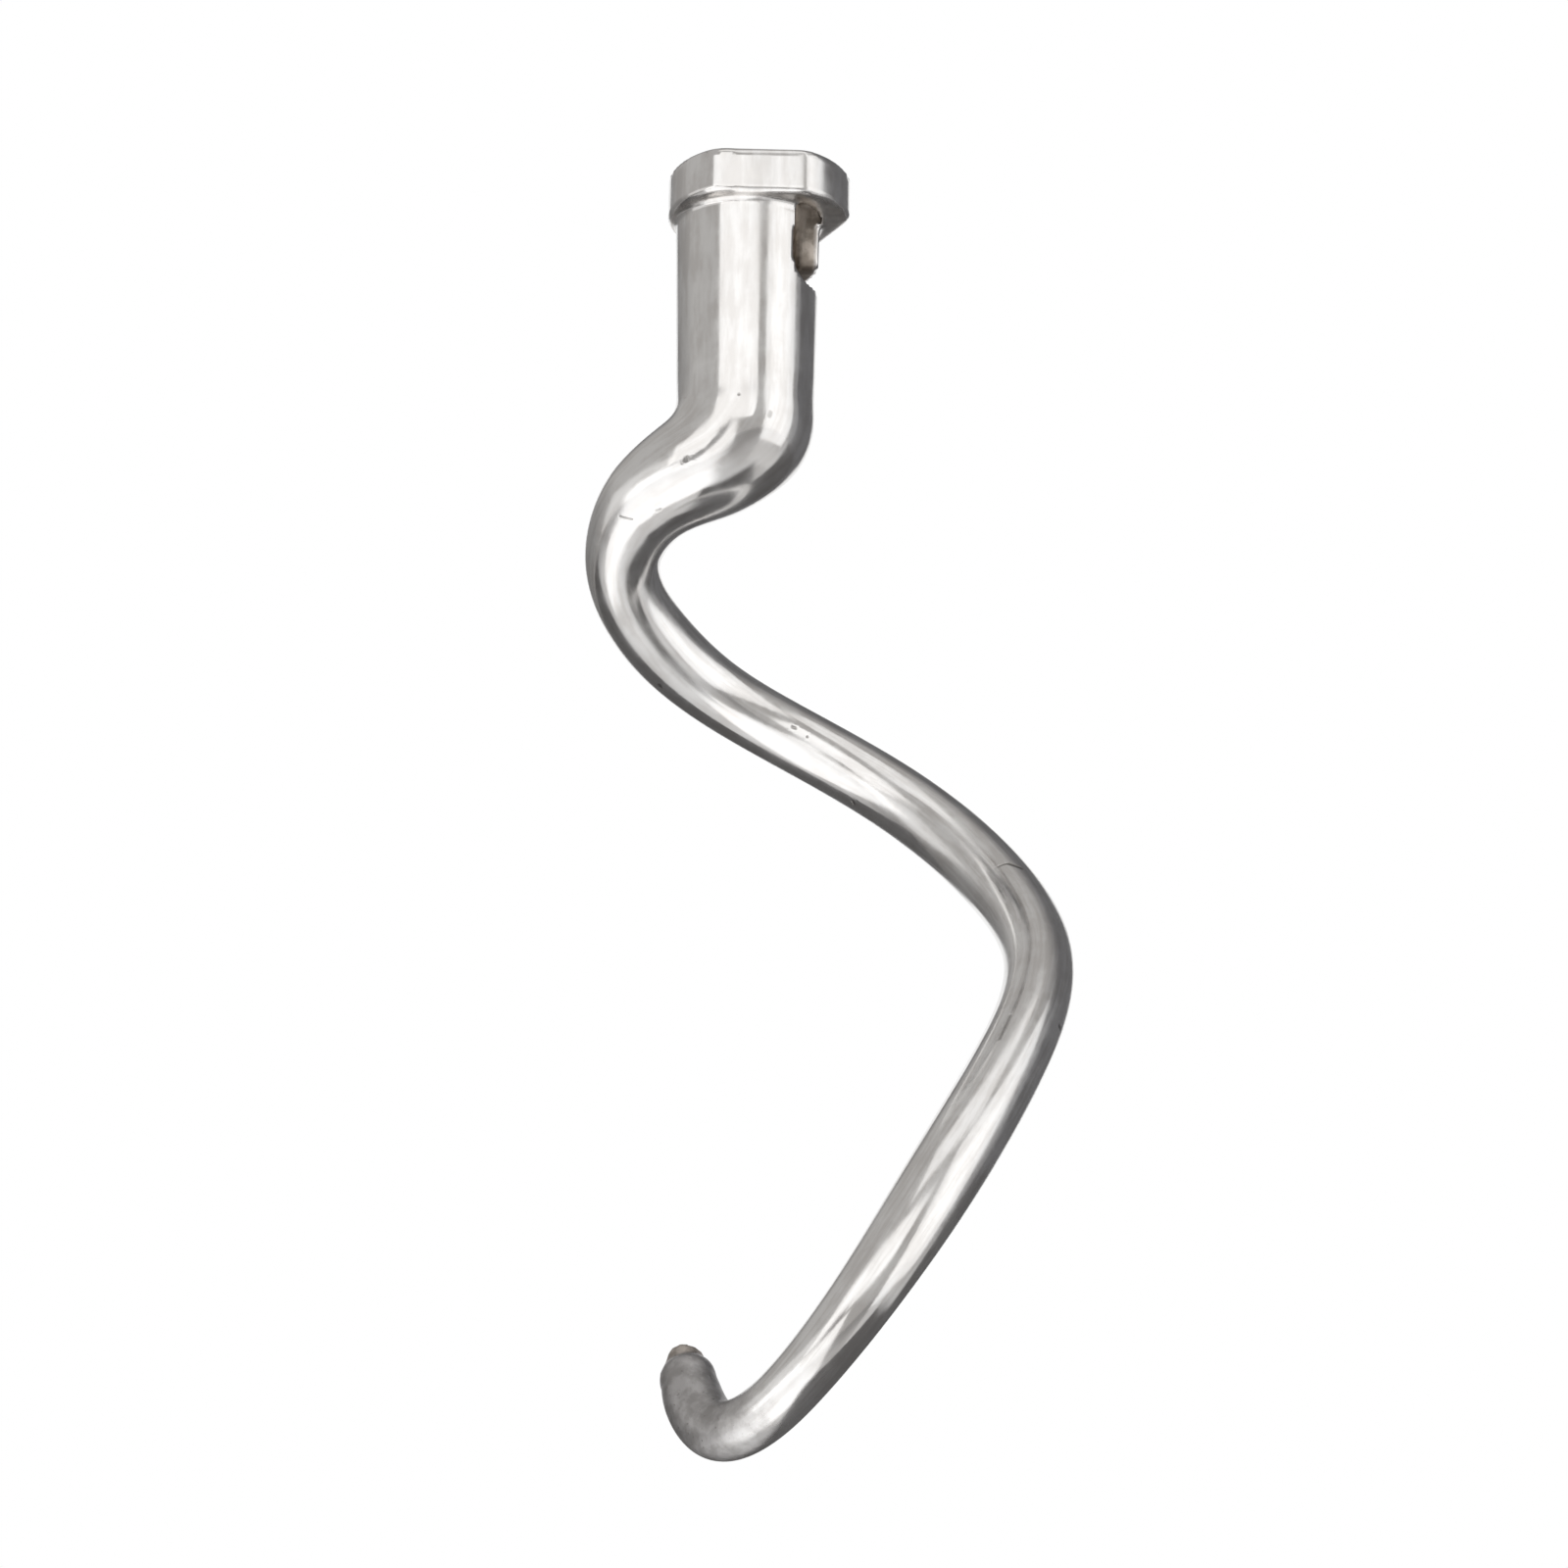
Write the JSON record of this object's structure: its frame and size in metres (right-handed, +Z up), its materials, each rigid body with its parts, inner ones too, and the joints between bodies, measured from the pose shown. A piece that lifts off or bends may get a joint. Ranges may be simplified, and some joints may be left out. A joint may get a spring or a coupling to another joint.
{
  "type": "stand mixer dough hook",
  "caption": "Spiral dough hook in polished cast aluminium: a bored shank with a flatted collar and a J slot for the drive pin, an elbow and a tapering arm that curls up at its tip.",
  "frame": {"origin": "on the socket's axis, where its wall begins just below the mouth", "axes": "+Z up along the socket's axis, out of its mouth; -Y is the hook's front, +X its right seen from the front"},
  "size_m": [0.0999, 0.0865, 0.2639],
  "materials": {
    "cast_aluminium": "polished casting, left as cast in the slot and at the tip"
  },
  "bodies": {
    "root": {"dough_hook": "cast_aluminium"}
  },
  "joints": []
}
